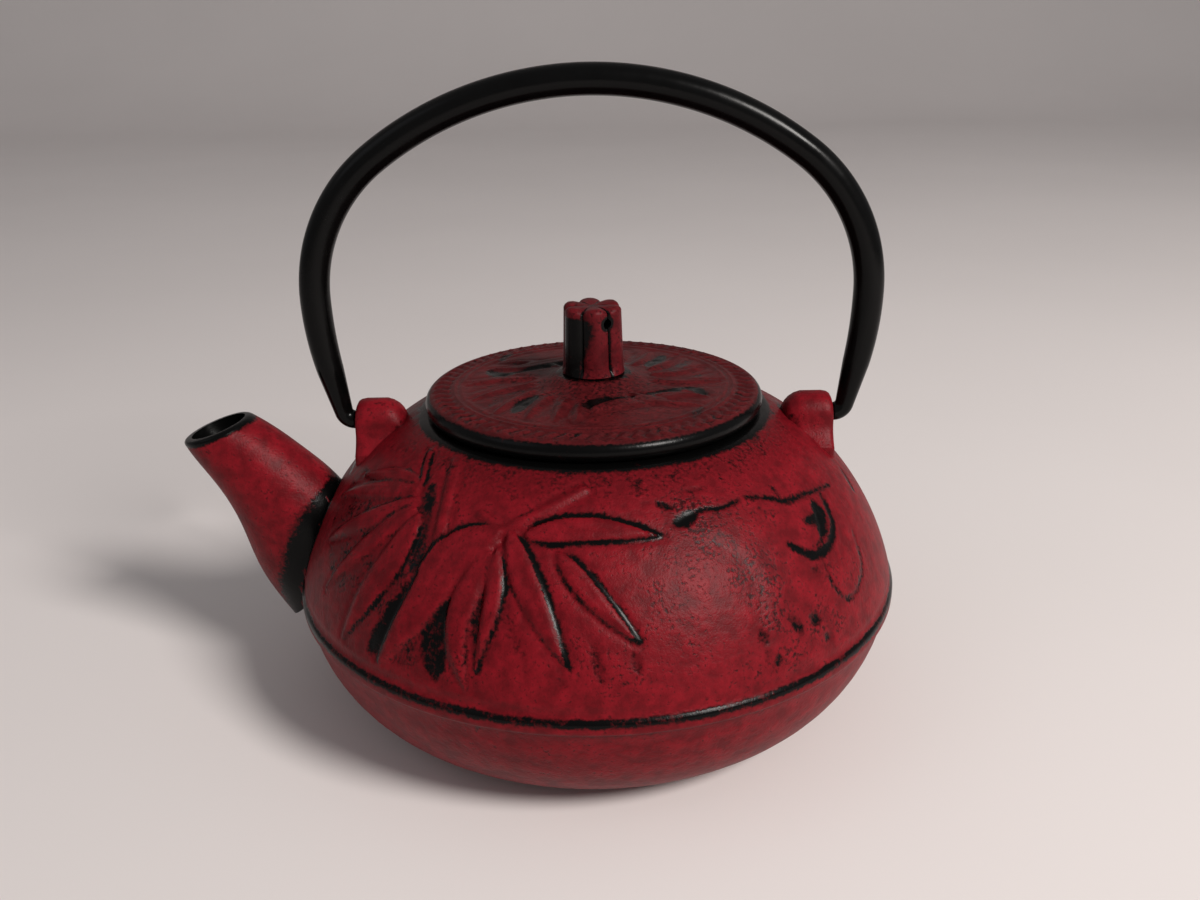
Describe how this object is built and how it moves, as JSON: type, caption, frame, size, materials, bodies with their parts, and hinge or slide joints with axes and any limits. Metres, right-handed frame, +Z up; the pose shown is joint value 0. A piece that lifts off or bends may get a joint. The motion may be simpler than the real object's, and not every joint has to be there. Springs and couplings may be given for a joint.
{
  "type": "teapot",
  "caption": "Small rounded cast-iron teapot with a short upright spout, a loose lid with a fluted knob, a swinging bail handle and a mesh infuser basket.",
  "frame": {"origin": "centre of the pot's flat foot, on the surface that it stands on", "axes": "+Z up along the pot's axis, +X away from the spout, which points along -X; the bail swings about an axis along X"},
  "size_m": [0.1404, 0.118, 0.1215],
  "materials": {
    "red_iron": "matte sponged red enamel paint over black",
    "black_bar": "gloss black enamel",
    "steel": "satin stainless sheet",
    "steel_mesh": "fine stainless mesh"
  },
  "bodies": {
    "pot": {"pot_body": "red_iron"},
    "infuser": {"infuser_collar": "steel", "infuser_wall": "steel_mesh", "infuser_floor": "steel_mesh", "infuser_band": "steel"},
    "lid_with_knob": {"lid": "red_iron", "knob": "red_iron", "knob_washer": "steel"},
    "handle": {"bail": "black_bar"}
  },
  "joints": [
    {"name": "bail_swing", "type": "hinge", "parent": "pot", "child": "handle", "pos_m": [0, 0, 0.056], "axis": [1, 0, 0], "range_deg": [-108, 108]},
    {"name": "infuser_lift", "type": "slide", "parent": "pot", "child": "infuser", "axis": [0, 0, 1], "range_m": [0, 0.017]},
    {"name": "lid_lift", "type": "slide", "parent": "infuser", "child": "lid_with_knob", "axis": [0, 0, 1], "range_m": [0, 0.017]}
  ]
}
